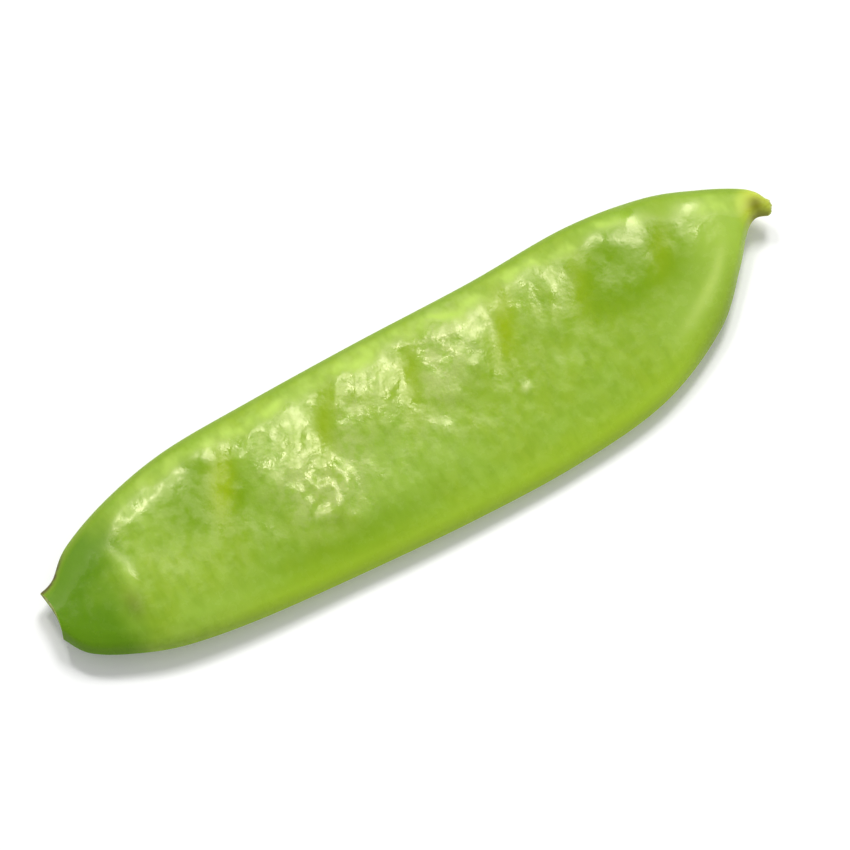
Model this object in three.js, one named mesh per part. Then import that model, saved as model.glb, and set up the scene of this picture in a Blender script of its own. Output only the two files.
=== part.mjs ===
// A snow pea pod, topped and tailed, lying on one face. Millimetres, +Z up.
// +X runs from the stem cut to the beak, and +Y points at the seam edge, where the seeds hang.
// The pod is one grown body, so the model is one closed mesh: two faces that meet along the seam
// edge and the back edge, with a small blunt end at the stem cut and another at the beak's tip.
import * as THREE from 'three';

// ---- Driving dimensions ----

const POD_LENGTH = 84; // in a straight line from the stem cut to the beak's tip
const POD_HALF_WIDTH = 0.135 * POD_LENGTH;

// Half thicknesses, from the middle surface to one face.
const CHEEK_HALF = 1.85; // in the middle of the pod, away from the seeds
const SEAM_RIM_HALF = 1.15; // at the seam edge, which is the fatter one
const BACK_RIM_HALF = 0.85; // at the back edge
const LENS_POWER = 3; // a higher power keeps the cheek flat further out

// How far in from the outline each edge is rounded over.
const SEAM_ROUND = 1.3;
const BACK_ROUND = 1.1;

// The low shoulder over which the cheek turns down to the thin back rim.
const SHOULDER_RISE = 0.06;
const SHOULDER_IN = 1.9;
const SHOULDER_HALF_WIDTH = 0.7;
const SHOULDER_LEAST_POD_WIDTH = 7; // it fades out where the pod is narrower than this

// The pod thins towards both ends.
const NECK_SHARE = 0.6; // share of the thickness that is left at the stem cut
const NECK_LENGTH = 9.5;
const BEAK_SHARE = 0.55; // share of the thickness that is left at the beak's tip
const BEAK_LENGTH = 12;

// The seeds press a row of low, flat-topped bumps into both faces, along the seam edge.
const SEED_RISE = 0.42;
const SEED_HALF_WIDTH = 4;
const SEED_HALF_HEIGHT = 5;
const SEED_LEAN = THREE.MathUtils.degToRad(29); // each bump leans towards the beak at its seam end

// Each seed's place, [along, across] as shares of the pod's length, and its size.
const SEEDS = [
  { place: [0.2, 0.037], size: 0.1 },
  { place: [0.322, 0.038], size: 0.9 },
  { place: [0.448, 0.038], size: 1.0 },
  { place: [0.573, 0.036], size: 1.0 },
  { place: [0.689, 0.034], size: 0.7 },
  { place: [0.792, 0.032], size: 0.65 },
  { place: [0.904, 0.022], size: 0.45 },
];

// The pod's own gentle bend, and what it lies on.
const STEM_LIFT = 0.7; // the stem end rises from the table
const BEAK_LIFT = 1.3; // the beak end rises a little more
const TWIST_LIFT = 0.45; // towards the beak the seam edge rises and the back edge sinks
const PRESSED_FLAT = 0.15; // how far the lower face is pressed flat in the middle

// The cut at the stem end is drawn in between its two tough edge strings.
const CUT_HOLLOW = 0.45;

// Mesh fineness: sections along the pod, and strips across each face.
const SECTION_COUNT = 91;
const STRIP_COUNT = 20;

// ---- Outline ----

// Ribs: pairs of facing points, [along, across] as shares of the length, one on the seam edge and
// one on the back edge. The first rib is the stem cut, where the seam's tough string stands out as
// a small horn. The last three are the beak, a blunt stub that bends towards the back edge.
const RIBS = [
  { seam: [0.004, 0.03], back: [0.0, -0.034] },
  { seam: [0.024, 0.037], back: [0.018, -0.064] },
  { seam: [0.058, 0.065], back: [0.06, -0.09] },
  { seam: [0.13, 0.093], back: [0.12, -0.113] },
  { seam: [0.22, 0.111], back: [0.21, -0.129] },
  { seam: [0.34, 0.114], back: [0.335, -0.141] },
  { seam: [0.49, 0.113], back: [0.485, -0.152] },
  { seam: [0.64, 0.109], back: [0.635, -0.155] },
  { seam: [0.775, 0.109], back: [0.765, -0.142] },
  { seam: [0.875, 0.092], back: [0.87, -0.098] },
  { seam: [0.941, 0.065], back: [0.93, -0.045] },
  { seam: [0.98, 0.044], back: [0.962, -0.011] },
  { seam: [0.997, 0.029], back: [0.98, -0.001] },
  { seam: [1.004, 0.014], back: [0.995, -0.006] },
];

function edgeCurve(side) {
  const points = RIBS.map((rib) => new THREE.Vector2(...rib[side]).multiplyScalar(POD_LENGTH));
  return new THREE.SplineCurve(points);
}

const seamEdge = edgeCurve('seam');
const backEdge = edgeCurve('back');

// ---- Thickness ----

// 1 at zero, falling smoothly to nothing on both sides.
const bell = (x) => Math.exp(-x * x);

// A quarter round: 0 at the outline, where it stands square, and 1 from one radius inwards.
function quarterRound(distance, radius) {
  const short = 1 - Math.min(distance / radius, 1);
  return Math.sqrt(1 - short * short);
}

// How much of the full thickness the pod has at a distance along it.
function endShare(x) {
  const neck = THREE.MathUtils.smoothstep(x, 0, NECK_LENGTH);
  const beak = THREE.MathUtils.smoothstep(POD_LENGTH - x, 0, BEAK_LENGTH);
  return (NECK_SHARE + (1 - NECK_SHARE) * neck) * (BEAK_SHARE + (1 - BEAK_SHARE) * beak);
}

// The bumps' rise at a place in the outline's plane: over each seed a leaning oval, whose top is
// flat because the bell is taken of the square.
function seedRise(place) {
  let rise = 0;
  for (const seed of SEEDS) {
    const middle = new THREE.Vector2(...seed.place).multiplyScalar(POD_LENGTH);
    const offset = place.clone().sub(middle).rotateAround(new THREE.Vector2(), SEED_LEAN);
    const reach = Math.hypot(offset.x / SEED_HALF_WIDTH, offset.y / SEED_HALF_HEIGHT);
    rise += seed.size * bell(reach ** 2);
  }
  return SEED_RISE * rise;
}

// The thickness of one face over the middle surface. across runs from -1 on the back edge to 1 on
// the seam edge, and width is the pod's width there. It is a flat-topped lens, rounded over at both
// edges, with the seeds' bumps and the back rim's shoulder on it.
function faceHeight(place, across, width) {
  const toSeam = ((1 - across) / 2) * width;
  const toBack = ((1 + across) / 2) * width;
  const rim = across > 0 ? SEAM_RIM_HALF : BACK_RIM_HALF;
  const lens = CHEEK_HALF + (rim - CHEEK_HALF) * Math.abs(across) ** LENS_POWER;
  const wideEnough = THREE.MathUtils.smoothstep(
    width,
    SHOULDER_LEAST_POD_WIDTH,
    2 * SHOULDER_LEAST_POD_WIDTH,
  );
  const shoulder = SHOULDER_RISE * wideEnough * bell((toBack - SHOULDER_IN) / SHOULDER_HALF_WIDTH);
  const edges = quarterRound(toSeam, SEAM_ROUND) * quarterRound(toBack, BACK_ROUND);
  return (lens * endShare(place.x) + seedRise(place) + shoulder) * edges;
}

// The height of the middle surface above the table: a gentle bend along the pod, and a twist.
function middleHeight(place) {
  const fromMiddle = (2 * place.x) / POD_LENGTH - 1;
  const lift = fromMiddle < 0 ? STEM_LIFT : BEAK_LIFT;
  const twist = (TWIST_LIFT * fromMiddle * place.y) / POD_HALF_WIDTH;
  return CHEEK_HALF - PRESSED_FLAT + lift * fromMiddle ** 2 + twist;
}

// ---- Mesh ----

// A section's points in the outline's plane, from the back edge to the seam edge. They lie closer
// together near the edges. At the stem cut they are drawn into the pod between the two edges.
function sectionPoints(share) {
  const back = backEdge.getPoint(share);
  const seam = seamEdge.getPoint(share);
  const chord = seam.clone().sub(back);
  const width = chord.length();
  const inward = new THREE.Vector2(chord.y, -chord.x).normalize();
  const hollow = CUT_HOLLOW * Math.max(1 - share * (RIBS.length - 1), 0) ** 2;
  const points = [];
  for (let strip = 0; strip <= STRIP_COUNT; strip += 1) {
    const across = -Math.cos((Math.PI * strip) / STRIP_COUNT);
    const place = back.clone().addScaledVector(chord, (1 + across) / 2);
    place.addScaledVector(inward, hollow * (1 - across * across));
    points.push({ place, across, width });
  }
  return points;
}

// Positions run section by section: the upper face's points, then the lower face's inner points.
// Both faces share the points on the two edges.
function podPositions() {
  const positions = [];
  for (let section = 0; section <= SECTION_COUNT; section += 1) {
    const points = sectionPoints(section / SECTION_COUNT);
    for (const { place, across, width } of points) {
      const top = middleHeight(place) + faceHeight(place, across, width);
      positions.push(place.x, place.y, top);
    }
    for (const { place, across, width } of points.slice(1, -1)) {
      const bottom = middleHeight(place) - faceHeight(place, across, width);
      positions.push(place.x, place.y, Math.max(bottom, 0));
    }
  }
  return positions;
}

const SECTION_POINTS = 2 * STRIP_COUNT;
const upper = (section, strip) => section * SECTION_POINTS + strip;

function lower(section, strip) {
  const onEdge = strip === 0 || strip === STRIP_COUNT;
  return onEdge ? upper(section, strip) : upper(section, STRIP_COUNT + strip);
}

// Two triangles for a four-sided patch, or one where two of its corners are the same point.
function addPatch(triangles, a, b, c, d) {
  if (a !== b && b !== c && c !== a) triangles.push(a, b, c);
  if (a !== c && c !== d && d !== a) triangles.push(a, c, d);
}

function podTriangles() {
  const triangles = [];
  for (let strip = 0; strip < STRIP_COUNT; strip += 1) {
    const next = strip + 1;
    for (let section = 0; section < SECTION_COUNT; section += 1) {
      const on = section + 1;
      addPatch(triangles, upper(section, strip), upper(on, strip), upper(on, next), upper(section, next));
      addPatch(triangles, lower(section, next), lower(on, next), lower(on, strip), lower(section, strip));
    }
    const last = SECTION_COUNT;
    addPatch(triangles, upper(0, strip), upper(0, next), lower(0, next), lower(0, strip));
    addPatch(triangles, lower(last, strip), lower(last, next), upper(last, next), upper(last, strip));
  }
  return triangles;
}

// The origin is set under the middle of the pod's box, on the table.
function podGeometry() {
  const geometry = new THREE.BufferGeometry();
  geometry.setAttribute('position', new THREE.Float32BufferAttribute(podPositions(), 3));
  geometry.setIndex(podTriangles());
  geometry.computeBoundingBox();
  const middle = geometry.boundingBox.getCenter(new THREE.Vector3());
  geometry.translate(-middle.x, -middle.y, 0);
  geometry.computeVertexNormals();
  return geometry;
}

const podSkin = new THREE.MeshStandardMaterial({ color: 0x98ba42, roughness: 0.42, metalness: 0 });

const pod = new THREE.Mesh(podGeometry(), podSkin);
pod.name = 'snow_pea_pod';

const part = new THREE.Group();
part.add(pod);

export default part;
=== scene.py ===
# %% [markdown]
# # A snow pea pod
#
# A snow pea is picked while its seeds are still small, so the pod is flat, and only a row of low
# bumps shows where the seeds are. This one has been topped and tailed and lies on one cheek. The
# solid model gives its size and place. Here the skin is worked out again as a much finer surface
# on the same rules, with the puckers that the solid leaves out, and gets its waxy green finish.
#
# Everything about the pod is worked out in millimetres, and turned into metres once, when the
# mesh is written.

import math

import bpy
import numpy as np
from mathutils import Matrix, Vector


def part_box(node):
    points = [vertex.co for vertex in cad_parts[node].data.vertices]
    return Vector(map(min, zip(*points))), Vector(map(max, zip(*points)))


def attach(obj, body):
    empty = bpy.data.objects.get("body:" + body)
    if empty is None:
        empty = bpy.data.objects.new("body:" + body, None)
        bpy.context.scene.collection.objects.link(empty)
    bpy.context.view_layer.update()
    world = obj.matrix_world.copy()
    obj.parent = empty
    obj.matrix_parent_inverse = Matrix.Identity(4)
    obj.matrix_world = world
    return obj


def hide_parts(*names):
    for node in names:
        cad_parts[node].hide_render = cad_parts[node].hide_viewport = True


MM = 0.001

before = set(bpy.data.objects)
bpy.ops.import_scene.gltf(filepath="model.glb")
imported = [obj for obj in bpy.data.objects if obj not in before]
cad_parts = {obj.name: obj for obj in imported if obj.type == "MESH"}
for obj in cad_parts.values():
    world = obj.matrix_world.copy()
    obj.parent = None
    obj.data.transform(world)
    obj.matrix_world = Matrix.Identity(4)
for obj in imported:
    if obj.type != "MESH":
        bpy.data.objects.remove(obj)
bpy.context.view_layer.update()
solid_low, solid_high = (np.array(corner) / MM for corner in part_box("snow_pea_pod"))
print("solid pod, mm:", (solid_high - solid_low).round(2))

# %% [markdown]
# ## The outline
#
# Seen from above, a pod is two long edges. The seam edge is the fat one that the seeds hang from,
# and the back edge is the thin one. Two curve objects could hold them, but Blender has no loft to
# stretch a skin between two curves. So both edges are computed as arrays, with the Catmull-Rom
# formula through a few listed points, and every section of the pod runs straight between
# facing points of the two.

# %% Two edges, as smooth curves through facing points
POD_LENGTH = 84.0
POD_HALF_WIDTH = 0.135 * POD_LENGTH

# One rib a row: along and across on the seam edge, then along and across on the back edge, as
# shares of the length. The first rib is the stem cut and the last three are the beak.
RIBS = np.array([
    (0.004, 0.030, 0.000, -0.034),
    (0.024, 0.037, 0.018, -0.064),
    (0.058, 0.065, 0.060, -0.090),
    (0.130, 0.093, 0.120, -0.113),
    (0.220, 0.111, 0.210, -0.129),
    (0.340, 0.114, 0.335, -0.141),
    (0.490, 0.113, 0.485, -0.152),
    (0.640, 0.109, 0.635, -0.155),
    (0.775, 0.109, 0.765, -0.142),
    (0.875, 0.092, 0.870, -0.098),
    (0.941, 0.065, 0.930, -0.045),
    (0.980, 0.044, 0.962, -0.011),
    (0.997, 0.029, 0.980, -0.001),
    (1.004, 0.014, 0.995, -0.006),
]) * POD_LENGTH
SEAM_POINTS, BACK_POINTS = RIBS[:, :2], RIBS[:, 2:]
LAST_RIB = len(RIBS) - 1


def edge_curve(points, share):
    """Catmull-Rom: between two points, the cubic whose slope at each point is half the step
    from the point before it to the point after it. share runs from 0 to 1 over all points."""
    span = np.minimum((share * LAST_RIB).astype(int), LAST_RIB - 1)
    t = (share * LAST_RIB - span)[:, None]
    before, start = points[np.maximum(span - 1, 0)], points[span]
    end, after = points[span + 1], points[np.minimum(span + 2, LAST_RIB)]
    slope_in, slope_out = (end - before) / 2, (after - start) / 2
    cubic = 2 * start - 2 * end + slope_in + slope_out
    square = -3 * start + 3 * end - 2 * slope_in - slope_out
    return ((cubic * t + square) * t + slope_in) * t + start


print("ribs:", len(RIBS), "places along the seam, mm:", SEAM_POINTS[:, 0].round(1))

# %% A grid over the pod: sections along it, strips across it
SECTIONS, STRIPS = 440, 108
FINE = 8 * SECTIONS


def even_shares():
    """Shares of the edge curves at which the sections lie evenly spaced, on the mean of both."""
    fine = np.linspace(0, 1, FINE)
    middle = (edge_curve(SEAM_POINTS, fine) + edge_curve(BACK_POINTS, fine)) / 2
    run = np.r_[0, np.cumsum(np.linalg.norm(np.diff(middle, axis=0), axis=1))]
    return np.interp(np.linspace(0, run[-1], SECTIONS + 1), run, fine)


share = even_shares()
seam, back = edge_curve(SEAM_POINTS, share), edge_curve(BACK_POINTS, share)
chord = seam - back
width = np.linalg.norm(chord, axis=1)[:, None]
seamward = chord / width
inward = np.stack([seamward[:, 1], -seamward[:, 0]], 1)

# across runs from -1 on the back edge to 1 on the seam edge. The cosine sets the strips closer
# together at both edges, where the skin turns over.
across = -np.cos(np.linspace(0, np.pi, STRIPS + 1))[None, :]
to_seam, to_back = (1 - across) / 2 * width, (1 + across) / 2 * width

# At the stem cut the sections are drawn into the pod between its two tough edge strings.
CUT_HOLLOW = 0.45
drawn_in = CUT_HOLLOW * np.clip(1 - share * LAST_RIB, 0, None)[:, None] ** 2 * (1 - across**2)
x = back[:, :1] + to_back * seamward[:, :1] + drawn_in * inward[:, :1]
y = back[:, 1:] + to_back * seamward[:, 1:] + drawn_in * inward[:, 1:]
print("grid", x.shape, "widest, mm:", width.max().round(2))

# %% [markdown]
# ## The thickness
#
# A pod is two walls that lie face to face, so its thickness is worked out over one middle surface
# and laid off to both sides. It is a flat-topped lens, thinner at the neck and at the beak, and
# rounded over at both edges. A subdivided box could be pinched into such a form by hand. A
# formula keeps it true to the solid model, which follows the same one.

# %% The lens, the ends and the rounded edges
CHEEK_HALF, SEAM_RIM_HALF, BACK_RIM_HALF, LENS_POWER = 1.85, 1.15, 0.85, 3
SEAM_ROUND, BACK_ROUND = 1.3, 1.1
NECK_SHARE, NECK_LENGTH = 0.6, 9.5
BEAK_SHARE, BEAK_LENGTH = 0.55, 12
SHOULDER_RISE, SHOULDER_IN, SHOULDER_HALF_WIDTH, SHOULDER_LEAST_POD_WIDTH = 0.06, 1.9, 0.7, 7


def bell(value):
    """e to the minus square: 1 at zero, falling smoothly to nothing on both sides."""
    return np.exp(-(value**2))


def smooth_step(value, low, high):
    """3t squared minus 2t cubed, where t is how far value has gone from low to high."""
    t = np.clip((value - low) / (high - low), 0, 1)
    return t * t * (3 - 2 * t)


def quarter_round(distance, radius):
    """A quarter circle: 0 and standing square at distance 0, and 1 from one radius on."""
    return np.sqrt(1 - (1 - np.clip(distance / radius, 0, 1)) ** 2)


neck = smooth_step(x, 0, NECK_LENGTH)
beak = smooth_step(POD_LENGTH - x, 0, BEAK_LENGTH)
end_share = (NECK_SHARE + (1 - NECK_SHARE) * neck) * (BEAK_SHARE + (1 - BEAK_SHARE) * beak)
rim = np.where(across > 0, SEAM_RIM_HALF, BACK_RIM_HALF)
lens = CHEEK_HALF + (rim - CHEEK_HALF) * np.abs(across) ** LENS_POWER
wide_enough = smooth_step(width, SHOULDER_LEAST_POD_WIDTH, 2 * SHOULDER_LEAST_POD_WIDTH)
shoulder = SHOULDER_RISE * wide_enough * bell((to_back - SHOULDER_IN) / SHOULDER_HALF_WIDTH)
edges = quarter_round(to_seam, SEAM_ROUND) * quarter_round(to_back, BACK_ROUND)
print("share of the thickness left at the two ends:", end_share[[0, -1]].mean(axis=1).round(2))

# %% The seeds' bumps
SEED_RISE, SEED_HALF_WIDTH, SEED_HALF_HEIGHT = 0.42, 4.0, 5.0
SEED_LEAN = math.radians(29)

# Each seed: along and across as shares of the length, its size, and how far its skin puckers.
SEEDS = [
    (0.200, 0.037, 0.10, 0.1),
    (0.322, 0.038, 0.90, 0.3),
    (0.448, 0.038, 1.00, 0.8),
    (0.573, 0.036, 1.00, 1.2),
    (0.689, 0.034, 0.70, 0.35),
    (0.792, 0.032, 0.65, 0.1),
    (0.904, 0.022, 0.45, 0.1),
]
# The puckered skin over a seed trails down to the stem's side. On the beak's side it stays taut.
PUCKER_LEAN, PUCKER_HALF_WIDTH, PUCKER_HALF_HEIGHT = math.radians(45), 3.6, 6.6
PUCKER_OFF = (-1.2, -1.4)


def leaning(along, up, lean=SEED_LEAN):
    """Distances beside and along an axis through a place, which leans to the beak at its seam
    end: the offsets, turned by the lean."""
    dx, dy = x - along * POD_LENGTH, y - up * POD_LENGTH
    cos, sin = math.cos(lean), math.sin(lean)
    return dx * cos - dy * sin, dx * sin + dy * cos


seed, dried = np.zeros_like(x), np.zeros_like(x)
for along, up, size, dry in SEEDS:
    side, height = leaning(along, up)
    seed += size * bell(np.hypot(side / SEED_HALF_WIDTH, height / SEED_HALF_HEIGHT) ** 2)
    side, height = leaning(along, up, PUCKER_LEAN)
    side, height = side - PUCKER_OFF[0], height - PUCKER_OFF[1]
    dried += dry * bell(np.hypot(side / PUCKER_HALF_WIDTH, height / PUCKER_HALF_HEIGHT))
print("seeds:", len(SEEDS), "highest bump, mm:", (SEED_RISE * seed.max()).round(2))

# %% [markdown]
# ## Valleys, and skin that has lost a little water
#
# Between two seeds the walls cling together in a narrow valley, which fades out halfway across.
# Over the seeds, and where the cheek was pressed in the hand, the skin of a picked pod puckers.
# Blender's Displace modifier could raise it from a noise texture, but it moves every face alike.
# Here smooth noise is computed on the grid, so that its strength can follow the seeds and stay
# off the ends and the edges.

# %% Valleys between the seeds
VALLEY_DEPTH, VALLEY_ROUND, VALLEY_HALF_HEIGHT = 0.16, 0.5, 3.8
STEM_WALL, BEAK_WALL = 2.2, 1.2
STAIN_OFF, STAIN_HALF_WIDTH, STAIN_HALF_HEIGHT = 0.6, 1.3, 4.2

# Where each valley crosses the row of seeds, along and across, how deep it is as a share of the
# depth above, and how full its stain is.
VALLEYS = [
    (0.247, 0.036, 0.05, 1.2),
    (0.388, 0.038, 0.8, 0.7),
    (0.508, 0.037, 0.5, 0.65),
    (0.6375, 0.035, 0.4, 1.0),
    (0.740, 0.033, 0.5, 0.5),
    (0.851, 0.026, 0.6, 0.5),
]

# A valley's walls fall to a crease, each as e to the minus distance. The wall on the beak's side
# is the steeper one, and the thin skin there is stained a fuller yellow-green. The stain is also
# a painted shade on that wall, which turns away from the lamp.
valley, valley_stain_and_shade = np.zeros_like(x), np.zeros_like(x)
for along, up, depth, full in VALLEYS:
    side, height = leaning(along, up)
    wall = np.hypot(side / np.where(side < 0, STEM_WALL, BEAK_WALL), VALLEY_ROUND) - VALLEY_ROUND
    valley += depth * np.exp(-wall) * bell(height / VALLEY_HALF_HEIGHT)
    valley_stain_and_shade += full * bell((side - STAIN_OFF) / STAIN_HALF_WIDTH) * bell(height / STAIN_HALF_HEIGHT)

half = (lens * end_share + SEED_RISE * seed - VALLEY_DEPTH * valley + shoulder) * edges
print("thickest, mm:", (2 * half).max().round(2))

# %% The crumpled place, the fold across the neck and the step to the seam's cord
CRUMPLE_PLACE, CRUMPLE_RADIUS, CRUMPLE_RISE = (0.347, -0.033), 4.4, 0.25
HOOK_RADIUS, HOOK_HALF_WIDTH, HOOK_RISE = 2.8, 0.9, 0.26
HOOK_MIDDLE, HOOK_FADE = math.radians(-35), (0.0, 0.5)
FOLD_RADIUS, FOLD_HALF_WIDTH, FOLD_RISE = 8.4, 0.7, 0.10
FOLD_ACROSS, FOLD_HALF_LENGTH = -0.8, 3.2
STEP_RISE, STEP_STARTS, STEP_STOPS, STEP_SLOPE = 0.08, (7, 12), (24, 17), (2.2, 4.2)

# The crumpled skin is a low mound with a raised hook of skin around its beak and back sides. The
# hook fades in as the cosine of the angle from its middle goes through HOOK_FADE.
dx, dy = x - CRUMPLE_PLACE[0] * POD_LENGTH, y - CRUMPLE_PLACE[1] * POD_LENGTH
from_crumple = np.hypot(dx, dy)
crumple = bell(from_crumple / CRUMPLE_RADIUS)
hook = bell((from_crumple - HOOK_RADIUS) / HOOK_HALF_WIDTH)
hook *= smooth_step(np.cos(np.arctan2(dy, dx) - HOOK_MIDDLE), *HOOK_FADE)

# The fold is a stretch of a circle around the cut's middle.
cut_middle = (seam[0] + back[0]) / 2
from_cut = np.hypot(x - cut_middle[0], y - cut_middle[1])
fold = bell((from_cut - FOLD_RADIUS) / FOLD_HALF_WIDTH) * bell((y - FOLD_ACROSS) / FOLD_HALF_LENGTH)

# Near the stem the cheek turns down to the seam's cord over a low step.
step_place = smooth_step(x, *STEP_STARTS) * smooth_step(x, *STEP_STOPS)
step = STEP_RISE * step_place * smooth_step(to_seam, *STEP_SLOPE)
print("crumpled skin, highest, mm:", (CRUMPLE_RISE * crumple + HOOK_RISE * hook).max().round(2))

# %% Small tucks, and the calm rims
CALM_RIM = 0.3, 2.2

# Where the skin is pinched: along and across as shares, radius and rise in mm.
TUCKS = [
    (0.248, 0.082, 1.6, 0.22),
    (0.738, 0.080, 0.9, 0.07),
    (0.804, 0.061, 1.1, 0.06),
    (0.841, 0.075, 1.0, 0.08),
    (0.912, 0.044, 1.4, 0.08),
    (0.300, -0.004, 1.1, 0.10),
    (0.6235, -0.050, 0.6, 0.07),
]
tucks = np.zeros_like(x)
for along, up, radius, rise in TUCKS:
    tucks += rise * bell(np.hypot(x - along * POD_LENGTH, y - up * POD_LENGTH) / radius)

# All relief dies out at the two rims and at the beak.
calm = smooth_step(to_seam, *CALM_RIM) * smooth_step(to_back, *CALM_RIM) * beak
print("tucks:", len(TUCKS), "highest, mm:", tucks.max().round(2))


# %% Puckers, as smooth noise on the grid
def rolling(cell_x, cell_y, order, turn=0.0):
    """Smooth noise from -1 to 1: a random height at each corner of a net of cells, blended
    inside a cell by 6t^5 - 15t^4 + 10t^3. turn turns the net, and order picks the heights."""
    cos, sin = math.cos(turn), math.sin(turn)
    u, v = (x * cos - y * sin) / cell_x, (x * sin + y * cos) / cell_y
    u, v = u - u.min(), v - v.min()
    column, row = u.astype(int), v.astype(int)
    net = np.random.default_rng(order).uniform(-1, 1, (column.max() + 2, row.max() + 2))
    s, t = (f**3 * (f * (6 * f - 15) + 10) for f in (u - column, v - row))
    near = net[column, row] * (1 - s) + net[column + 1, row] * s
    far = net[column, row + 1] * (1 - s) + net[column + 1, row + 1] * s
    return near * (1 - t) + far * t


# The skin puckers a little all over, more over the dried seeds, and most where it is crumpled.
# The step near the stem and the stained valleys stay taut.
PLAIN_PUCKER, PLAIN_LESS_ON_STEP = 0.2, 0.8
DRIED_LESS_ON_STEP, CRUMPLE_PUCKER = 0.7, 1.2
plain = PLAIN_PUCKER * (1 - PLAIN_LESS_ON_STEP * step_place)
taut = np.clip(1 - valley_stain_and_shade, 0, 1) * (1 - DRIED_LESS_ON_STEP * step_place)
pucker = calm * neck * (plain + dried * taut + CRUMPLE_PUCKER * crumple)
print("strongest pucker:", pucker.max().round(2))

# %% One face's relief
# Each noise: the cells of its net along and across, and its height, in mm.
SWELL_CELL, SWELL_HEIGHT = (12, 8), 0.09
DIMPLE_CELL, DIMPLE_HEIGHT = (4.5, 3.5), 0.04
RIDGE_CELL, RIDGE_HEIGHT, RIDGE_ROUND = (2.2, 3.0), 0.16, 0.1
GRAIN_CELL, GRAIN_HEIGHT = (1.0, 1.3), 0.055
UPPER_ORDER, LOWER_ORDER = 30, 20


def relief(order):
    """One face's own unevenness: a slow swell all over, and where the skin puckers, a net of
    fine ridges, where some smooth noise passes through zero, and a grain."""
    swell = SWELL_HEIGHT * rolling(*SWELL_CELL, order)
    swell += DIMPLE_HEIGHT * rolling(*DIMPLE_CELL, order + 1, SEED_LEAN)
    ridges = RIDGE_HEIGHT * (0.5 - np.hypot(rolling(*RIDGE_CELL, order + 2, SEED_LEAN), RIDGE_ROUND))
    grain = GRAIN_HEIGHT * rolling(*GRAIN_CELL, order + 3, SEED_LEAN)
    return calm * (neck * swell + FOLD_RISE * fold) + pucker * (ridges + grain)


# The crumpled place, the step and the tucks are on the upper face alone.
upper_relief, lower_relief = relief(UPPER_ORDER), relief(LOWER_ORDER)
upper_relief += step * edges + calm * (CRUMPLE_RISE * crumple + HOOK_RISE * hook + tucks)
print("relief, mm:", upper_relief.min().round(3), "to", upper_relief.max().round(3))

# %% The bend of the whole pod, and its two faces
STEM_LIFT, BEAK_LIFT, TWIST_LIFT, PRESSED_FLAT = 0.7, 1.3, 0.45, 0.15
WARP, WARP_CELL, WARP_ORDER = 0.1, (13, 30), 1

from_middle = 2 * x / POD_LENGTH - 1
lift = np.where(from_middle < 0, STEM_LIFT, BEAK_LIFT) * from_middle**2
twist = TWIST_LIFT * from_middle * y / POD_HALF_WIDTH
middle = CHEEK_HALF - PRESSED_FLAT + lift + twist + WARP * rolling(*WARP_CELL, WARP_ORDER)
top = middle + half + upper_relief
bottom = np.maximum(middle - half - lower_relief, 0)
print("top, mm:", top.max().round(2))
print("share of the lower points on the table:", (bottom == 0).mean().round(2))

# %% [markdown]
# ## The two edges
#
# The seam edge is a double cord: two fine ridges with a groove between them, where the pod would
# split. The back edge is a single low string. Both are too small for the solid model. A bevelled
# curve could be laid along each edge, but then the pod would be three pieces, and it grew as one.
# So the skin itself is moved in or out near the middle surface.

# %% A groove along the seam, a string along the back
GROOVE_DEPTH, GROOVE_HALF = 0.2, 0.2
STRING_RISE, STRING_HALF = 0.1, 0.16
FADE_WIDTH = 1.5, 5

fade = smooth_step(width, *FADE_WIDTH)
groove = np.where(across > 0, bell(half / GROOVE_HALF), 0) * fade
string = np.where(across < 0, bell(half / STRING_HALF), 0) * fade
shift = -GROOVE_DEPTH * groove - STRING_RISE * string
x = x + shift * seamward[:, :1]
y = y + shift * seamward[:, 1:]
print("edges moved, mm:", shift.min().round(2), "to", shift.max().round(2))

# %% [markdown]
# ## The two ends
#
# The knife went through both walls at the stem, so the cut shows two drawn-in walls with a slit
# between them. At the beak the dried flower broke off and left a blunt, shrivelled stub. Filling
# each hole with one flat face would close the mesh, but a flat end looks sawn. A small grid from
# the lower face to the upper one can sink or swell instead.

# %% How far each end sinks or swells
END_ROWS = 8
WALL_HOLLOW, SLIT_DEPTH, SLIT_HALF = 0.16, 0.45, 0.14
STUB_SWELL, STUB_SHRIVEL = 0.5, 0.1
RIPPLE_ALONG, RIPPLE_TURN, RIPPLE_UP = 9, 4, 7


def cut_swell(up, side, half_thick):
    """Each wall sinks by 1 - up^4, and the slit by a bell of the height, both as 1 - side^8."""
    slit = SLIT_DEPTH * bell(up * half_thick / SLIT_HALF)
    return -(1 - side**8) * (WALL_HOLLOW * (1 - up**4) + slit)


def stub_swell(up, side, half_thick):
    """A low dome, the root of (1 - up^2)(1 - side^2), with ripples from two sine waves."""
    dome = np.sqrt((1 - up**2) * (1 - side**2))
    ripple = np.sin(RIPPLE_ALONG * side + RIPPLE_TURN * up) * np.sin(RIPPLE_UP * up * half_thick)
    return STUB_SWELL * dome + STUB_SHRIVEL * dome * ripple


def end_points(section, outward, swell):
    """Rows of points from the lower to the upper face of one end section, without the points
    that the two faces already have."""
    up = np.linspace(-1, 1, END_ROWS + 1)[1:-1, None]
    low, high = bottom[section], top[section]
    out = swell(up, across, (high - low) / 2)
    z = (high + low) / 2 + up * (high - low) / 2
    grid = np.stack([x[section] + out * outward[0], y[section] + out * outward[1], z], -1)
    return grid[:, 1:-1]


print("deepest in the cut, mm:", -cut_swell(0, 0, 1).round(2))

# %% [markdown]
# ## One closed mesh
#
# The pod is one grown body, so it becomes one mesh with nothing open: the upper face, the lower
# face, which shares the upper one's points along both edges, and the two ends.

# %% Points and faces of all four parts
def numbered(grid, first):
    """Numbers for a grid's points, row by row, from first on."""
    rows, columns = grid.shape[:2]
    return first + np.arange(rows * columns).reshape(rows, columns)


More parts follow.
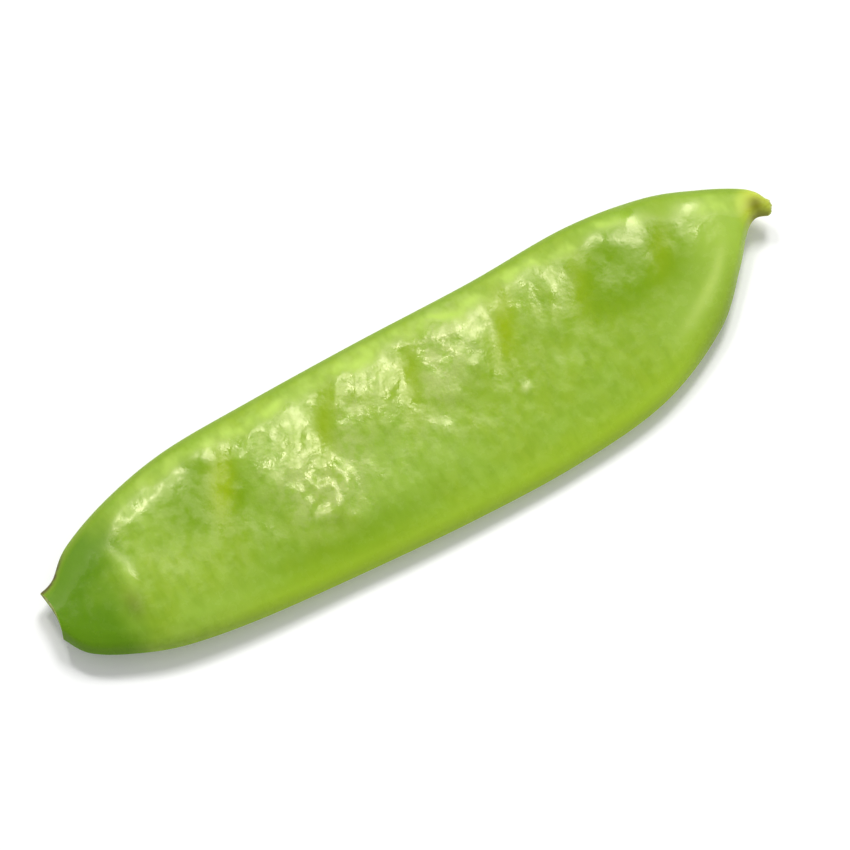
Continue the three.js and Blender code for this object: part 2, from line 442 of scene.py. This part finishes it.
def cells(index):
    """One face for every cell of a grid of point numbers, counter-clockwise from outside."""
    corners = index[:-1, :-1], index[1:, :-1], index[1:, 1:], index[:-1, 1:]
    return np.stack(corners, -1).reshape(-1, 4)


upper_points = np.stack([x, y, top], -1)
lower_points = np.stack([x, y, bottom], -1)[:, 1:-1]
cut_points = end_points(0, -inward[0], cut_swell)
stub_points = end_points(-1, inward[-1], stub_swell)
parts = [upper_points, lower_points, cut_points, stub_points]
firsts = np.cumsum([0] + [part.shape[0] * part.shape[1] for part in parts])

upper_index = numbered(x, firsts[0])
lower_index = upper_index.copy()
lower_index[:, 1:-1] = numbered(lower_points, firsts[1])


def end_index(section, points, first):
    """An end's grid of point numbers. Its outer rows and columns are the two faces' own points."""
    index = np.tile(lower_index[section], (END_ROWS + 1, 1))
    index[-1] = upper_index[section]
    index[1:-1, 1:-1] = numbered(points, first)
    return index


part_faces = [
    cells(upper_index),
    cells(lower_index)[:, ::-1],
    cells(end_index(0, cut_points, firsts[2])),
    cells(end_index(-1, stub_points, firsts[3]))[:, ::-1],
]
points = np.concatenate([part.reshape(-1, 3) for part in parts])
quads = np.concatenate(part_faces)
print(len(points), "points,", len(quads), "faces")

# %% The mesh, with the middle of the pod over the origin, in metres
SHARP_OVER = math.radians(50)

# At the very edge of an end, a cell has one corner twice, and becomes a triangle.
faces = [[corner for n, corner in enumerate(face) if corner != face[n - 1]] for face in quads.tolist()]
both_edges = np.concatenate([seam, back])
plan_middle = (both_edges.min(0) + both_edges.max(0)) / 2
places = (points - [*plan_middle, 0]) * MM

mesh = bpy.data.meshes.new("pod_skin")
mesh.from_pydata(places.tolist(), [], faces)
mesh.shade_smooth()
mesh.set_sharp_from_angle(angle=SHARP_OVER)

pod_skin = bpy.data.objects.new("pod_skin", mesh)
bpy.context.scene.collection.objects.link(pod_skin)
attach(pod_skin, "root")
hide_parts("snow_pea_pod")
print("triangles:", sum(len(face) - 2 for face in faces))

# %% [markdown]
# ## What the colours need to know
#
# The colours follow the pod's own parts: how far a point is from the seam, the back, the cut and
# the stub, and whether it lies on a seed or in a valley. Some of them place painted light and
# shade: shade on the neck, the rims and the valleys, and highlights and sheen on the fold, the
# seeds, the beak's face and the thin edges. Each fact is stored as an attribute on the points, so
# that the material can read it, in place of a painted texture.

# %% Places on the face
def spots(places):
    """The sum of an oval bell for each place, at most 1."""
    total = np.zeros_like(x)
    for along, up, half_length, half_height, amount in places:
        dx, dy = (x - along * POD_LENGTH) / half_length, (y - up * POD_LENGTH) / half_height
        total += amount * bell(np.hypot(dx, dy))
    return np.clip(total, 0, 1)


# Each place: along and across as shares, half its length and half its height in mm, and how much.
DEEP_GREEN_AND_SHADE_PLACES = [
    (0.853, 0.025, 6.5, 4.8, 1.0),
    (0.781, 0.020, 7.0, 5.0, 0.8),
    (0.246, 0.024, 2.6, 2.8, 1.0),
    (0.244, 0.042, 2.0, 2.4, 1.0),
    (0.207, 0.026, 3.2, 3.2, 0.8),
    # A painted shade: this place darkens the first seed's flank, where the lamp lays a broad sheen.
    (0.222, 0.046, 3.5, 4.0, 0.5),
    (0.365, -0.116, 9.0, 2.6, 0.9),
    (0.270, -0.048, 4.5, 7.0, 0.4),
    (0.605, -0.028, 5.0, 4.5, 0.35),
]
PALE_AND_SHEEN_PLACES = [
    (0.135, -0.038, 5.0, 7.5, 0.2),
    (0.200, -0.103, 5.0, 2.5, 0.6),
    (0.595, -0.093, 14.0, 4.0, 0.3),
    (0.856, -0.058, 5.5, 4.5, 0.9),
    # Partly paler skin, partly a painted sheen on the face by the beak.
    (0.921, -0.006, 3.5, 4.0, 1.0),
]
OCHRE_SPOT = [(0.987, 0.011, 0.9, 0.8, 1.0)]
# The face by the beak: a wax bloom, and a painted sheen.
BEAK_BLOOM_AND_SHEEN = [(0.925, -0.002, 3.6, 4.0, 1.0)]
BLEMISH = [(0.624, -0.049, 0.4, 0.4, 1.0)]
SMUDGE = [(0.091, -0.043, 0.9, 1.5, 1.0)]
# On a few tucks the wax is whole, so they shine.
SHINY_PLACES = [
    (0.260, 0.075, 1.4, 1.2, 1.0),
    (0.843, 0.064, 1.5, 1.3, 1.0),
    (0.847, 0.084, 1.1, 0.9, 0.8),
    (0.914, 0.048, 1.5, 1.2, 1.0),
]
deep = spots(DEEP_GREEN_AND_SHADE_PLACES)
print("places, deep:", len(DEEP_GREEN_AND_SHADE_PLACES), "pale:", len(PALE_AND_SHEEN_PLACES), "shiny:", len(SHINY_PLACES))


# %% The neck's painted shade
def uneven(cell, fine_cell, fine_share, order):
    """Smooth noise, with a share of finer noise on it."""
    return rolling(*cell, order) + fine_share * rolling(*fine_cell, order + 1)


# A painted shade: the neck is painted a dark, full green, which stands for shade at the stem end.
# It ends on a ragged line, and reaches further along both edges, as painted shade on the rims.
NECK_FULL, NECK_GONE, NECK_REACH = 4.5, 11.0, 3.0
NECK_RAGGED, NECK_NOISE = 1.6, ((4, 4), (1.5, 1.5), 0.5, 50)
ragged = NECK_RAGGED * uneven(*NECK_NOISE)
from_neck = from_cut + ragged - NECK_REACH * bell(np.minimum(to_seam, to_back) / NECK_REACH)
neck_shade = smooth_step(from_neck, NECK_GONE, NECK_FULL)
print("share of the points in the neck's green:", neck_shade.mean().round(2))

# %% The colours of the two rims, with painted light and shade
# They start past the neck. The seam's band is paler, partly its own colour and partly painted
# light that shines through the thin edge, and its outermost skin is darker, a painted shade. The
# back band is yellow-green, lightened with painted light where the rim turns from the lamps. Where
# the pod narrows to the beak, the back rim is darker, a painted shade, and a pale line runs inside
# it, a painted highlight on the shoulder's crest.
PAST_NECK, NARROWING, BEAK_START = (8, 24), (66, 74), (76, 79)
SEAM_BAND_IN, SEAM_BAND_HALF, SEAM_BAND_LOSS = 2.1, 0.8, 0.8
SEAM_EDGE_FADE = 1.4, 0.4
RIM_UNEVEN, RIM_NOISE = 0.8, ((4, 6), (1.3, 2), 0.6, 52)
BACK_BAND_HALF, BACK_BAND_LOSS = 2.0, 0.7
BACK_LINE_IN, BACK_LINE_HALF, BACK_EDGE_HALF = 3.2, 0.8, 1.7

past_neck, narrowing = smooth_step(x, *PAST_NECK), smooth_step(x, *NARROWING)
on_beak = smooth_step(x, *BEAK_START)
uneven_to_seam = to_seam + RIM_UNEVEN * uneven(*RIM_NOISE)
seam_share = past_neck * (1 - SEAM_BAND_LOSS * narrowing + SEAM_BAND_LOSS * on_beak)
# Partly the seam's paler skin, partly painted light that shines through the thin edge.
seam_band_and_glow = seam_share * bell((uneven_to_seam - SEAM_BAND_IN) / SEAM_BAND_HALF)
# Painted shade: the seam's outermost skin is darker, where the rim turns away from the lamps.
seam_edge_shade = smooth_step(to_seam, *SEAM_EDGE_FADE)
# Partly the back rim's own yellow-green, partly painted light that lightens the rim where it turns
# away from the lamps.
back_band_and_light = past_neck * bell(to_back / BACK_BAND_HALF) * (1 - BACK_BAND_LOSS * narrowing)
# A painted highlight: a pale line along the crest of the shoulder near the beak.
back_highlight_line = narrowing * (1 - on_beak) * bell((to_back - BACK_LINE_IN) / BACK_LINE_HALF)
# Painted shade on the back rim outside that line.
back_edge_shade = narrowing * (1 - on_beak) * bell(to_back / BACK_EDGE_HALF)
print("share of the points in the seam's band:", seam_band_and_glow.mean().round(2))

# %% The bloom and painted sheen, the rubbed wax, the scar and the dried stub
# The bloom lies on the puckered skin: partly the wax's pale bloom, and partly a painted sheen
# that stands for the lamp's broad highlight over the seeds. The wax is rubbed off along the seam.
# The scar runs from the cut along the seam's string, and the stub turns olive and then dry towards
# its end.
BLOOM_AND_SHEEN_ON_CRUMPLE, BLOOM_AND_SHEEN_LOSS_ON_STAIN = 1.2, 0.9
RUBBED, RUBBED_ROUGHNESS = (4.5, 1.6), 0.55
SCAR_LENGTH, SCAR_WIDTH = (7.5, 4.0), (0.8, 0.3)
OLIVE_REACH, DRY_REACH, RUSTY_REACH, RUSTY_HALF = (4.0, 1.5), (2.4, 0.8), (3.2, 1.6), 0.35

puckered_skin = dried + BLOOM_AND_SHEEN_ON_CRUMPLE * crumple
bloom_and_sheen = np.clip(puckered_skin * (1 - BLOOM_AND_SHEEN_LOSS_ON_STAIN * valley_stain_and_shade) * (1 - deep), 0, 1)
dull = smooth_step(uneven_to_seam, *RUBBED)
scar = smooth_step(from_cut, *SCAR_LENGTH) * smooth_step(to_seam, *SCAR_WIDTH)
from_stub = np.hypot(x - x[-1].mean(), y - y[-1].mean())
olive, dry_stub = smooth_step(from_stub, *OLIVE_REACH), smooth_step(from_stub, *DRY_REACH)
rusty = smooth_step(from_stub, *RUSTY_REACH) * bell(to_back / RUSTY_HALF)
print("share of the points in bloom:", bloom_and_sheen.mean().round(2))


# %% The facts, as attributes on the points
def on_all_points(values, at_cut, at_stub):
    """Values on the grid, for the upper face's points, the lower face's, and both ends'."""
    values = np.broadcast_to(values, x.shape)
    ends = [np.full(cut_points.size // 3, at_cut), np.full(stub_points.size // 3, at_stub)]
    return np.concatenate([values.ravel(), values[:, 1:-1].ravel(), *ends])


# Each fact: how strong it is, where it holds, and its value on the cut's face and on the stub's.
FACTS = {
    "pale": (0.8, spots(PALE_AND_SHEEN_PLACES), 0, 0),
    "deep": (0.9, deep, 0, 0),
    "beak_bloom_and_sheen": (0.4, spots(BEAK_BLOOM_AND_SHEEN), 0, 0),
    "bloom_and_sheen": (1, bloom_and_sheen, 0, 0),
    "valley_stain_and_shade": (1, np.clip(valley_stain_and_shade, 0, 1), 0, 0),
    # The neck's painted shade.
    "neck": (0.97, neck_shade, 0, 0),
    # Partly paler skin, partly a painted highlight along the fold's ridge.
    "fold": (0.7, fold, 0, 0),
    "smudge": (0.35, spots(SMUDGE), 0, 0),
    "blemish": (0.8, spots(BLEMISH), 0, 0),
    "back_band_and_light": (0.8, back_band_and_light, 0, 0),
    "back_highlight_line": (0.8, back_highlight_line, 0, 0),
    "back_edge_shade": (0.5, back_edge_shade, 0, 0),
    "seam_band_and_glow": (1, seam_band_and_glow, 0, 0),
    "seam_edge_shade": (0.85, seam_edge_shade, 0, 0),
    "olive": (0.9, olive, 0, 0.9),
    "dry": (0.5, dry_stub, 0, 0.25),
    "ochre": (0.95, spots(OCHRE_SPOT), 0, 0),
    "rusty": (0.5, rusty, 0, 0.1),
    "scar": (1, scar, 0, 0),
    "cut": (1, np.zeros_like(x), 1, 0),
    "dull": (RUBBED_ROUGHNESS, dull, RUBBED_ROUGHNESS, RUBBED_ROUGHNESS / 2),
    "shiny": (1, spots(SHINY_PLACES), 0, 0),
    "wrinkled": (1, smooth_step(pucker, 0, 1), 0, 0),
}
for name, (strength, where, at_cut, at_stub) in FACTS.items():
    values = on_all_points(strength * where, at_cut, at_stub)
    stored = mesh.attributes.new(name, "FLOAT", "POINT")
    stored.data.foreach_set("value", values.astype(np.float32))
print("facts:", ", ".join(FACTS))

# %% [markdown]
# ## The finish
#
# The skin is a thin film of plant wax over green flesh. Where the film is whole it shines, and
# where it was rubbed, along the seam and on the cut, it is dull. The flesh lets a little light
# in. That is a Principled shader with a green base, a roughness that follows the wax, and some
# subsurface scattering. The base is laid on in layers, as the pod grew: the mottled ground, the
# marks on the face, the two rims, and the dried ends last. Some of these layers are painted light
# and shade, in part or whole: shade on the neck, the rims and the valleys, and highlights and
# sheen on the fold, the seeds, the beak's face and the thin edges. A painted picture could hold
# all this, but it would need an unwrapped skin, and it would blur close up.

# %% Colours and nodes
def linear(hex_colour):
    """An sRGB hex colour as linear red, green, blue and 1: a straight stretch near black, and
    a power of 2.4 above it."""
    srgb = np.array([int(hex_colour[i:i + 2], 16) for i in (1, 3, 5)]) / 255
    rgb = np.where(srgb <= 0.04045, srgb / 12.92, ((srgb + 0.055) / 1.055) ** 2.4)
    return (*rgb, 1.0)


def fill(tree, node, inputs):
    """Gives each input its value, or a link where the value is another node's output."""
    for name, value in inputs.items():
        if isinstance(value, bpy.types.NodeSocket):
            tree.links.new(value, node.inputs[name])
        else:
            node.inputs[name].default_value = value


def add_node(tree, kind, inputs, out=0, **settings):
    """Adds a node with its settings and inputs, and gives back one of its outputs."""
    made = tree.nodes.new("ShaderNode" + kind)
    for name, value in settings.items():
        setattr(made, name, value)
    fill(tree, made, inputs)
    return made.outputs[out]


print("middle grey, #808080, as linear light:", round(linear("#808080")[0], 3))

# %% The colours of a fresh pod, and of the painted light and shade on it
SKIN_GREEN = linear("#8eb234")
SKIN_PALE = linear("#a0c04a")
SKIN_DEEP = linear("#759c00")
SKIN_YELLOW = linear("#92ae00")
SKIN_BLOOM_AND_SHEEN = linear("#b0c26c")
NECK_SHADE_GREEN = linear("#5a8800")
SEAM_PALE_AND_LIGHT = linear("#b4d355")
RIM_SHADE_GREEN = linear("#7c9a22")
BACK_YELLOW_AND_LIGHT = linear("#a6c82e")
BACK_HIGHLIGHT_PALE = linear("#b8d264")
BEAK_OLIVE = linear("#c4d048")
BEAK_OCHRE = linear("#767a00")
SCAR_BROWN = linear("#514614")
CUT_FLESH = linear("#b9c070")

# %% Patterns and layers
# Patterns that break the layers up. Each is smooth noise: the size of its grain in mm, its
# detail, its stretch along the fibres, the noise at which it starts and is full, and its least
# and most. Fibres and pores are finer than this on a real pod, and are drawn as coarse as shows.
PATTERNS = {
    "clouds": (7.0, 2, 1.0, 0.40, 0.65, 0.0, 0.5),
    "fibres": (0.8, 3, 0.3, 0.40, 0.65, 0.0, 0.42),
    "mottle": (1.6, 3, 1.0, 0.45, 0.65, 0.0, 0.4),
    "specks": (1.1, 3, 1.0, 0.35, 0.60, 0.25, 0.9),
    "patchy": (2.6, 3, 0.6, 0.35, 0.62, 0.2, 0.95),
    "flakes": (0.7, 2, 1.0, 0.40, 0.60, 0.0, 0.5),
    "crust": (0.8, 2, 1.0, 0.35, 0.55, 0.3, 0.95),
    "strands": (0.6, 2, 1.0, 0.40, 0.65, 0.0, 0.8),
    "shine": (1.2, 3, 1.0, 0.35, 0.65, 0.16, 0.3),
}

# The layers, from the ground up: the fact that places it, the pattern that breaks it up, and the
# colour. A layer without a fact lies all over.
LAYERS = [
    (None, "clouds", SKIN_YELLOW),
    (None, "fibres", SKIN_DEEP),
    (None, "mottle", SKIN_PALE),
    # Partly a painted sheen, at the place by the beak.
    ("pale", None, SKIN_PALE),
    # Partly a painted shade, at one place on the first seed's flank.
    ("deep", None, SKIN_DEEP),
    # Partly wax bloom, partly a painted sheen on the face by the beak.
    ("beak_bloom_and_sheen", None, SEAM_PALE_AND_LIGHT),
    # Partly wax bloom, partly a painted sheen over the seeds.
    ("bloom_and_sheen", "specks", SKIN_BLOOM_AND_SHEEN),
    # Partly the valleys' own yellow-green, partly painted shade on the walls that turn from the lamp.
    ("valley_stain_and_shade", None, SKIN_YELLOW),
    # Painted shade at the stem end.
    ("neck", None, NECK_SHADE_GREEN),
    # The fold's pale line: partly paler skin, partly a painted highlight along its ridge.
    ("fold", None, SKIN_PALE),
    ("smudge", None, SCAR_BROWN),
    ("blemish", None, SKIN_BLOOM_AND_SHEEN),
    # Partly the back rim's yellow-green, partly painted light on it.
    ("back_band_and_light", None, BACK_YELLOW_AND_LIGHT),
    # Painted highlight on the shoulder's crest.
    ("back_highlight_line", None, BACK_HIGHLIGHT_PALE),
    # Painted shade on the back rim near the beak.
    ("back_edge_shade", None, RIM_SHADE_GREEN),
    # Partly the seam's own pale colour, partly painted light through the thin edge.
    ("seam_band_and_glow", "patchy", SEAM_PALE_AND_LIGHT),
    # Painted shade on the seam's outermost skin.
    ("seam_edge_shade", None, RIM_SHADE_GREEN),
    ("olive", None, BEAK_OLIVE),
    ("dry", "flakes", BEAK_OCHRE),
    ("ochre", None, BEAK_OCHRE),
    ("rusty", None, SCAR_BROWN),
    ("scar", "crust", SCAR_BROWN),
    ("cut", None, CUT_FLESH),
    ("cut", "strands", SCAR_BROWN),
]
print("patterns:", len(PATTERNS), "layers:", len(LAYERS))


# %% One colour from all the layers
def patterned(tree, place, name):
    """A pattern's noise, brought smoothly from where it starts and is full to its least and
    most."""
    grain, detail, stretch, start, full, least, most = PATTERNS[name]
    turned = {"Vector": place, "Scale": (1, stretch, 1), "Rotation": (0, 0, -SEED_LEAN)}
    vector = add_node(tree, "Mapping", turned)
    noise = add_node(tree, "TexNoise", {"Vector": vector, "Scale": 1 / (grain * MM), "Detail": detail})
    ends = {"Value": noise, "From Min": start, "From Max": full, "To Min": least, "To Max": most}
    return add_node(tree, "MapRange", ends, interpolation_type="SMOOTHSTEP")


MIX_FACTOR, MIX_UNDER, MIX_OVER, MIX_RESULT = 0, 6, 7, 2


def layered_colour(tree, place):
    """Each layer covers the ones under it by its fact times its pattern."""
    colour = SKIN_GREEN
    for fact, pattern, over in LAYERS:
        covers = [patterned(tree, place, pattern)] if pattern else []
        covers += [add_node(tree, "Attribute", {}, out="Fac", attribute_name=fact)] if fact else []
        cover = covers[0]
        if len(covers) > 1:
            cover = add_node(tree, "Math", dict(enumerate(covers)), operation="MULTIPLY")
        mixed = {MIX_FACTOR: cover, MIX_UNDER: colour, MIX_OVER: over}
        colour = add_node(tree, "Mix", mixed, out=MIX_RESULT, data_type="RGBA")
    return colour


# %% The waxy skin
# Plant wax bends light a little less than glass does. Over green flesh its highlights look a
# little yellow, and the flesh scatters green light furthest.
WAX_IOR, WAX_TINT, WHOLE_WAX_ROUGHNESS = 1.4, (1.0, 0.9, 0.65, 1.0), 0.17
FLESH_SCATTER, FLESH_RADIUS, FLESH_DEPTH = 0.2, (0.7, 1.0, 0.2), 0.8 * MM
PORE_SIZE, PORE_DETAIL, PORE_DEPTH = 0.5 * MM, 3, 0.045 * MM
PORE_LEAST, PORE_MOST = 0.25, 0.9


def waxy_skin_material():
    """Waxed, living skin: sharp highlights on a soft green that glows a little at thin edges."""
    skin = bpy.data.materials.new("waxy_pod_skin")
    skin.use_nodes = True
    tree = skin.node_tree
    place = add_node(tree, "TexCoord", {}, out="Object")

    # The wax is the rougher of its own pattern and its rubbed places, except where it is whole.
    dull = add_node(tree, "Attribute", {}, out="Fac", attribute_name="dull")
    worn = add_node(tree, "Math", {0: patterned(tree, place, "shine"), 1: dull}, operation="MAXIMUM")
    shiny = add_node(tree, "Attribute", {}, out="Fac", attribute_name="shiny")
    whole = {"Factor": shiny, "A": worn, "B": WHOLE_WAX_ROUGHNESS}

    # Fine pores, which show most where the skin is wrinkled.
    wrinkled = add_node(tree, "Attribute", {}, out="Fac", attribute_name="wrinkled")
    strength = {"Value": wrinkled, "To Min": PORE_LEAST, "To Max": PORE_MOST}
    noise = {"Vector": place, "Scale": 1 / PORE_SIZE, "Detail": PORE_DETAIL}
    pores = {
        "Height": add_node(tree, "TexNoise", noise),
        "Distance": PORE_DEPTH,
        "Strength": add_node(tree, "MapRange", strength),
    }
    fill(tree, tree.nodes["Principled BSDF"], {
        "Base Color": layered_colour(tree, place),
        "Roughness": add_node(tree, "Mix", whole),
        "Normal": add_node(tree, "Bump", pores),
        "IOR": WAX_IOR,
        "Specular Tint": WAX_TINT,
        "Subsurface Weight": FLESH_SCATTER,
        "Subsurface Radius": FLESH_RADIUS,
        "Subsurface Scale": FLESH_DEPTH,
    })
    return skin


mesh.materials.append(waxy_skin_material())
print("skin:", len(LAYERS), "layers,", len(mesh.materials[0].node_tree.nodes), "nodes")

# %% [markdown]
# ## The studio
#
# Food is shot on a white table that runs up into a white wall. The table is one flat face. Only
# what the camera sees is made whiter, and the light on the pod stays plain: the floor glows a
# little for rays that come from the camera or a reflection, and far from the pod it is white to
# such rays, so that it meets the backdrop without a line. Overhead the room is dimmer, because a
# white ceiling would lay a grey film over the waxy green.

# %% A matt white floor
FLOOR_HALF, FLOOR_LIFT = 2.0, 0.09
FLOOR_NEAR, FLOOR_FAR = 0.09, 0.3
CARD_WHITE, CARD_ROUGHNESS, CARD_SPECULAR = linear("#f6f6f6"), 0.9, 0.1
WHITE = (1, 1, 1, 1)


def seen_directly(tree):
    """1 for what the camera sees, also in a reflection or through glass, and 0 for light."""
    seen = add_node(tree, "LightPath", {}, out="Is Camera Ray")
    for ray in ("Is Glossy Ray", "Is Transmission Ray"):
        also = add_node(tree, "LightPath", {}, out=ray)
        seen = add_node(tree, "Math", {0: seen, 1: also}, operation="MAXIMUM")
    return seen


def matt_floor_material():
    """Matt white card: no highlight, and a soft shadow under the pod."""
    card = bpy.data.materials.new("matt_white_card")
    card.use_nodes = True
    tree = card.node_tree
    seen = seen_directly(tree)
    place = add_node(tree, "TexCoord", {}, out="Object")
    distance = add_node(tree, "VectorMath", {0: place}, out="Value", operation="LENGTH")
    ends = {"Value": distance, "From Min": FLOOR_NEAR, "From Max": FLOOR_FAR}
    far = add_node(tree, "MapRange", ends, interpolation_type="SMOOTHSTEP")
    white = add_node(tree, "Emission", {"Strength": 1.0})
    shader = tree.nodes["Principled BSDF"]
    fill(tree, shader, {
        "Base Color": CARD_WHITE,
        "Roughness": CARD_ROUGHNESS,
        "Specular IOR Level": CARD_SPECULAR,
        "Emission Color": WHITE,
        "Emission Strength": add_node(tree, "Math", {0: seen, 1: FLOOR_LIFT}, operation="MULTIPLY"),
    })
    share = add_node(tree, "Math", {0: seen, 1: far}, operation="MULTIPLY")
    surface = add_node(tree, "MixShader", {0: share, 1: shader.outputs[0], 2: white})
    tree.links.new(surface, tree.nodes["Material Output"].inputs["Surface"])
    return card


corners = [(-1, -1), (1, -1), (1, 1), (-1, 1)]
floor_mesh = bpy.data.meshes.new("floor")
floor_mesh.from_pydata([(a * FLOOR_HALF, b * FLOOR_HALF, 0) for a, b in corners], [], [(0, 1, 2, 3)])
floor_mesh.materials.append(matt_floor_material())
floor = bpy.data.objects.new("floor", floor_mesh)
bpy.context.scene.collection.objects.link(floor)
print("floor, m:", 2 * FLOOR_HALF)

# %% A white wall all round, and a dimmer ceiling
WORLD_LIGHT = 0.48
BACKDROP_TOP, CEILING = 0.35, 0.65


def studio_world():
    """White backdrop up to BACKDROP_TOP over the horizon, and a dimmer ceiling from CEILING up.
    Heights are the sine of the elevation."""
    world = bpy.data.worlds.new("studio")
    world.use_nodes = True
    tree = world.node_tree
    way = add_node(tree, "TexCoord", {}, out="Generated")
    up = add_node(tree, "SeparateXYZ", {"Vector": way}, out="Z")
    ends = {"Value": up, "From Min": BACKDROP_TOP, "From Max": CEILING, "To Min": 1.0, "To Max": 0.0}
    backdrop = add_node(tree, "MapRange", ends, interpolation_type="SMOOTHSTEP")
    shown = add_node(tree, "Math", {0: seen_directly(tree), 1: backdrop}, operation="MULTIPLY")
    strength = {"Value": shown, "To Min": WORLD_LIGHT, "To Max": 1.0}
    lit = {"Color": WHITE, "Strength": add_node(tree, "MapRange", strength)}
    fill(tree, tree.nodes["Background"], lit)
    return world


bpy.context.scene.world = studio_world()
print("light from all round:", WORLD_LIGHT)

# %% [markdown]
# ## The camera and the lamps
#
# The camera looks down on the pod through a long lens, so that its outline stays true. Wax shows
# a lamp like a weak mirror does. So each softbox stands where its mirror image falls on skin that
# leans a certain way: the first lights the side of each bump that leans to the beak and the seam,
# and leaves the flat cheek calm, and the second lights the skin that leans to the seam near the
# stem. Turning a lamp by eye would do too, but the rule puts it there at once.

# %% The camera
AZIMUTH, ELEVATION = math.radians(329.1), math.radians(70)
DISTANCE, LENS = 0.45, 190
NEAREST, FURTHEST = 0.01, 20
TARGET = Vector((0, 0, 0.002))

away = Vector((
    math.sin(AZIMUTH) * math.cos(ELEVATION),
    -math.cos(AZIMUTH) * math.cos(ELEVATION),
    math.sin(ELEVATION),
))
camera_data = bpy.data.cameras.new("camera")
camera_data.lens = LENS
camera_data.clip_start, camera_data.clip_end = NEAREST, FURTHEST
camera = bpy.data.objects.new("camera", camera_data)
camera.location = TARGET + away * DISTANCE
camera.rotation_euler = away.to_track_quat("Z", "Y").to_euler()
bpy.context.scene.collection.objects.link(camera)
bpy.context.scene.camera = camera
bpy.context.scene.view_settings.view_transform = "Standard"
print("camera, mm:", [round(part / MM) for part in camera.location])

# %% Two softboxes
LAMP_DISTANCE = 0.9

# Each lamp: its name, the outward direction of the skin that mirrors it, its size and its watts.
SOFTBOXES = [
    ("softbox", (0.122, 0.070, 1), (0.22, 0.3), 4.4),
    ("second_softbox", (-0.050, 0.165, 1), (0.14, 0.14), 2.0),
]


def softbox(name, skin_faces, size, watts):
    """A lamp that the camera sees mirrored in skin whose outward direction h is skin_faces. With
    v the way to the camera, that is at 2(h.v)h - v."""
    outward = Vector(skin_faces).normalized()
    direction = 2 * outward.dot(away) * outward - away
    lamp = bpy.data.lights.new(name, "AREA")
    lamp.shape = "RECTANGLE"
    lamp.size, lamp.size_y = size
    lamp.energy = watts
    made = bpy.data.objects.new(name, lamp)
    made.location = direction * LAMP_DISTANCE
    made.rotation_euler = direction.to_track_quat("Z", "Y").to_euler()
    bpy.context.scene.collection.objects.link(made)
    print(name, "mm:", [round(part / MM) for part in made.location])


for settings in SOFTBOXES:
    softbox(*settings)
